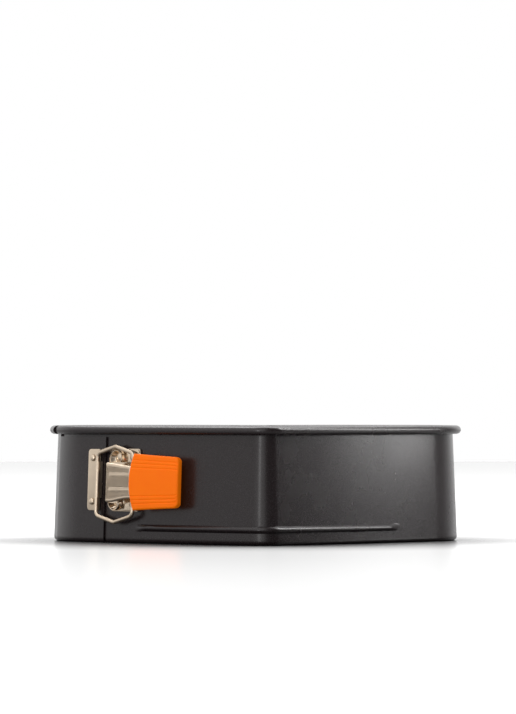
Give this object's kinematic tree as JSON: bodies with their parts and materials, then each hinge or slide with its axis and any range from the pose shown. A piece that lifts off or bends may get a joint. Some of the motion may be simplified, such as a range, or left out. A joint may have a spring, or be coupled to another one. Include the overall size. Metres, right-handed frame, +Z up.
{
  "type": "heart-shaped springform pan",
  "caption": "Heart-shaped springform baking pan: dished base plate, steel ring with rolled rim, and a side clasp with a wire loop and a soft-grip lever that opens the ring.",
  "frame": {"origin": "on the surface that the pan stands on, under the middle of its bounding box", "axes": "+Z up, +Y from the tip of the heart to its cleft, +X to the right seen from the tip; the clasp is on the -X side"},
  "size_m": [0.25, 0.2162, 0.0699],
  "materials": {
    "non_stick": "satin charcoal non-stick coating with a fine metallic fleck",
    "nickel_plate": "warm nickel plate, softly polished",
    "grip_rubber": "matt orange silicone",
    "rim_steel": "plain drawn wire"
  },
  "bodies": {
    "base": {"base_plate": "non_stick"},
    "ring_main": {"band_main": "non_stick", "rim_wire_main": "rim_steel", "bracket": "nickel_plate", "bracket_rivet_1": "nickel_plate", "bracket_rivet_2": "nickel_plate", "bracket_rivet_3": "nickel_plate", "bracket_rivet_4": "nickel_plate"},
    "ring_left": {"band_left": "non_stick", "rim_wire_left": "rim_steel", "hook_plate": "nickel_plate", "hook_rivet_1": "nickel_plate", "hook_rivet_2": "nickel_plate"},
    "lever": {"lever_plate": "nickel_plate", "lever_pin": "nickel_plate", "grip": "grip_rubber"},
    "loop": {"wire_loop": "nickel_plate"}
  },
  "joints": [
    {"name": "ring_lift", "type": "slide", "parent": "base", "child": "ring_main", "axis": [0, 0, 1], "range_m": [0, 0.09]},
    {"name": "clasp_lever", "type": "hinge", "parent": "ring_main", "child": "lever", "pos_m": [-0.08882, -0.02653, 0.03781], "axis": [-0.0294, -0.0271, -0.9992], "range_deg": [0, 150]},
    {"name": "loop_pivot", "type": "hinge", "parent": "lever", "child": "loop", "pos_m": [-0.07597, -0.03931, 0.03778], "axis": [0.0294, 0.0271, 0.9992], "range_deg": [0, 150]},
    {"name": "band_flex", "type": "hinge", "parent": "ring_main", "child": "ring_left", "pos_m": [-0.01984, 0.09328, 0.035], "axis": [0, 0, -1], "range_deg": [0, 5.5]}
  ],
  "couplings": [
    {"joint": "loop_pivot", "follows": "clasp_lever", "ratio": 1},
    {"joint": "band_flex", "follows": "clasp_lever", "ratio": 0.0366}
  ]
}
